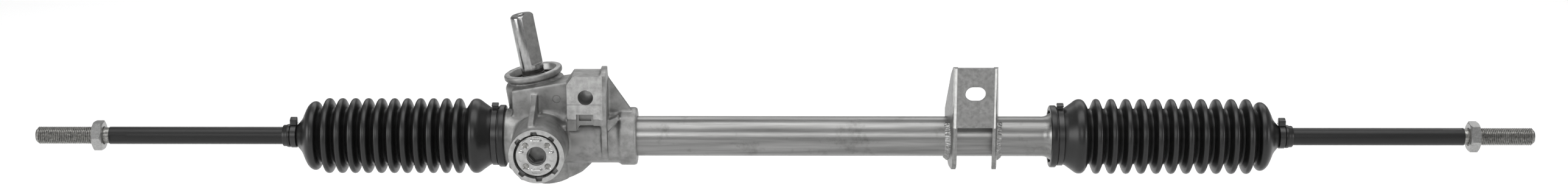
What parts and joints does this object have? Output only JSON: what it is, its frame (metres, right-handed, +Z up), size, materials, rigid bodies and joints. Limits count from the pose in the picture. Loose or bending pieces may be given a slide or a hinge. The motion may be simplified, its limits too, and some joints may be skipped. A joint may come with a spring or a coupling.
{
  "type": "rack-and-pinion steering gear",
  "caption": "Manual rack-and-pinion steering gear with cast housing, tube, bellows and inner tie rods: turning the pinion shaft slides the rack and both rods.",
  "frame": {"origin": "centre of the front mouth of the housing's bolt hole, on the machined mounting face", "axes": "+X along the rack from the pinion towards the tube's far end, -Y out of the mounting faces towards the yoke boss, +Z up towards the pinion's input end"},
  "size_m": [1.2042, 0.097, 0.1409],
  "materials": {
    "cast_aluminium": "sand-blasted die casting",
    "tube_steel": "satin drawn steel",
    "zinc_plated_steel": "satin zinc",
    "ground_steel": "ground",
    "bearing_steel": "polished",
    "spring_steel": "phosphated",
    "black_coated_rod": "satin black",
    "clamp_black": "satin black",
    "boot_rubber": "satin",
    "seal_rubber": "matt",
    "slide_plastic": "matt",
    "bush_bronze": "satin",
    "yoke_aluminium": "machined"
  },
  "bodies": {
    "rack_housing": {"housing": "cast_aluminium", "rack_tube": "tube_steel", "mounting_bracket": "zinc_plated_steel", "rack_bush": "slide_plastic", "bearing_outer_ring": "bearing_steel", "bearing_snap_ring": "spring_steel", "lower_bush": "bush_bronze", "yoke": "yoke_aluminium", "yoke_liner": "slide_plastic", "yoke_spring": "spring_steel", "yoke_spring_guide": "ground_steel", "adjuster_cap": "zinc_plated_steel", "yoke_o_ring": "seal_rubber", "boot_left": "boot_rubber", "boot_right": "boot_rubber", "large_clamp_left": "clamp_black", "large_clamp_right": "clamp_black"},
    "rack": {"rack_bar": "ground_steel", "ball_socket_left": "ground_steel", "ball_socket_right": "ground_steel", "lock_plate_left": "ground_steel", "lock_plate_right": "ground_steel"},
    "pinion": {"pinion_shaft": "ground_steel", "bearing_inner_ring": "bearing_steel", "pinion_circlip": "spring_steel"},
    "pinion_bearing_cage": {"bearing_cage": "bearing_steel", "bearing_balls": "bearing_steel"},
    "ball_seat_left": {"ball_seat_left": "slide_plastic"},
    "tie_rod_left": {"tie_rod_left": "black_coated_rod", "jam_nut_left": "zinc_plated_steel", "small_clamp_left": "clamp_black"},
    "ball_seat_right": {"ball_seat_right": "slide_plastic"},
    "tie_rod_right": {"tie_rod_right": "black_coated_rod", "jam_nut_right": "zinc_plated_steel", "small_clamp_right": "clamp_black"}
  },
  "joints": [
    {"name": "rack_slide", "type": "slide", "parent": "rack_housing", "child": "rack", "axis": [1, 0, 0], "range_m": [-0.0759, 0.0621], "deforming": ["boot_left", "boot_right"]},
    {"name": "pinion_turn", "type": "hinge", "parent": "rack_housing", "child": "pinion", "pos_m": [-0.0367, 0.0418, -0.0395], "axis": [-0.1702, 0, 0.9854], "range_deg": [-630, 520]},
    {"name": "bearing_cage_turn", "type": "hinge", "parent": "rack_housing", "child": "pinion_bearing_cage", "pos_m": [-0.04368, 0.0418, 0.0009], "axis": [-0.1702, 0, 0.9854], "range_deg": [-260, 215]},
    {"name": "tie_rod_left_fore_aft", "type": "hinge", "parent": "rack", "child": "ball_seat_left", "pos_m": [-0.1723, 0.028, -0.0395], "axis": [0, 0, 1], "range_deg": [-18, 18]},
    {"name": "tie_rod_left_up_down", "type": "hinge", "parent": "ball_seat_left", "child": "tie_rod_left", "pos_m": [-0.1723, 0.028, -0.0395], "axis": [0, 1, 0], "range_deg": [-18, 18]},
    {"name": "tie_rod_right_fore_aft", "type": "hinge", "parent": "rack", "child": "ball_seat_right", "pos_m": [0.4879, 0.028, -0.0395], "axis": [0, 0, 1], "range_deg": [-18, 18]},
    {"name": "tie_rod_right_up_down", "type": "hinge", "parent": "ball_seat_right", "child": "tie_rod_right", "pos_m": [0.4879, 0.028, -0.0395], "axis": [0, 1, 0], "range_deg": [-18, 18]}
  ],
  "couplings": [
    {"joint": "pinion_turn", "follows": "rack_slide", "rad_per_m": 142.86},
    {"joint": "bearing_cage_turn", "follows": "rack_slide", "rad_per_m": 58.897}
  ]
}
